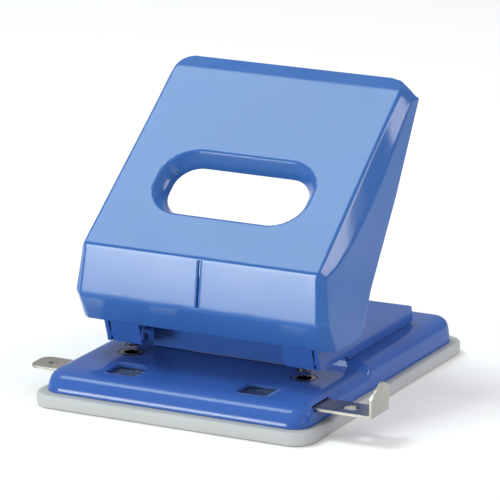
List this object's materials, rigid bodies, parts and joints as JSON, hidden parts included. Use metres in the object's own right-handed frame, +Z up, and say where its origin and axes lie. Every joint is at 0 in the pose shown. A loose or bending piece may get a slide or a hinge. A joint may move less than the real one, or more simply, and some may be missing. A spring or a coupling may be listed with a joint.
{
  "type": "two-hole paper punch",
  "caption": "Desk paper punch with a hooded lever, hand opening, sliding paper guide bar, sprung punch pins and a lift-off chip tray.",
  "frame": {"origin": "centre of the chip tray's flat underside", "axes": "+Z up; +Y from the paper side towards the back; +X to the side where the guide bar's stop is"},
  "size_m": [0.1569, 0.155, 0.1259],
  "materials": {
    "blue_enamel": "gloss",
    "grey_plastic": "satin",
    "plated_steel": "satin",
    "guide_steel": "satin",
    "spring_steel": "bright",
    "hardened_steel": "ground"
  },
  "bodies": {
    "tray": {"chip_tray": "grey_plastic"},
    "base": {"base_plate": "blue_enamel", "bracket": "blue_enamel", "lever_shaft": "plated_steel", "shaft_clip_left": "plated_steel", "shaft_clip_right": "plated_steel", "die_bush_left": "hardened_steel", "die_bush_right": "hardened_steel", "guide_channel": "plated_steel", "foot_rivet_1": "plated_steel", "foot_rivet_2": "plated_steel", "foot_rivet_3": "plated_steel", "foot_rivet_4": "plated_steel"},
    "lever": {"handle": "blue_enamel", "press_yoke": "plated_steel", "press_rod": "plated_steel"},
    "pin_left": {"punch_pin_left": "hardened_steel", "spring_clip_left": "plated_steel", "return_spring_left": "spring_steel"},
    "pin_right": {"punch_pin_right": "hardened_steel", "spring_clip_right": "plated_steel", "return_spring_right": "spring_steel"},
    "guide": {"guide_bar": "guide_steel"}
  },
  "joints": [
    {"name": "tray_release", "type": "slide", "parent": "tray", "child": "base", "axis": [0, 0, 1], "range_m": [0, 0.03]},
    {"name": "lever_swing", "type": "hinge", "parent": "base", "child": "lever", "pos_m": [0, -0.0439, 0.045], "axis": [-1, 0, 0], "range_deg": [0, 30], "stiffness_Nm_per_rad": 0.45, "springref_deg": -28.65},
    {"name": "pin_left_stroke", "type": "slide", "parent": "base", "child": "pin_left", "axis": [0, 0, -1], "range_m": [0, 0.0061], "deforming": ["return_spring_left"]},
    {"name": "pin_right_stroke", "type": "slide", "parent": "base", "child": "pin_right", "axis": [0, 0, -1], "range_m": [0, 0.0061], "deforming": ["return_spring_right"]},
    {"name": "guide_slide", "type": "slide", "parent": "base", "child": "guide", "axis": [1, 0, 0], "range_m": [-0.022, 0.065]}
  ],
  "couplings": [
    {"joint": "pin_left_stroke", "follows": "lever_swing", "m_per_rad": 0.01156},
    {"joint": "pin_right_stroke", "follows": "lever_swing", "m_per_rad": 0.01156}
  ]
}
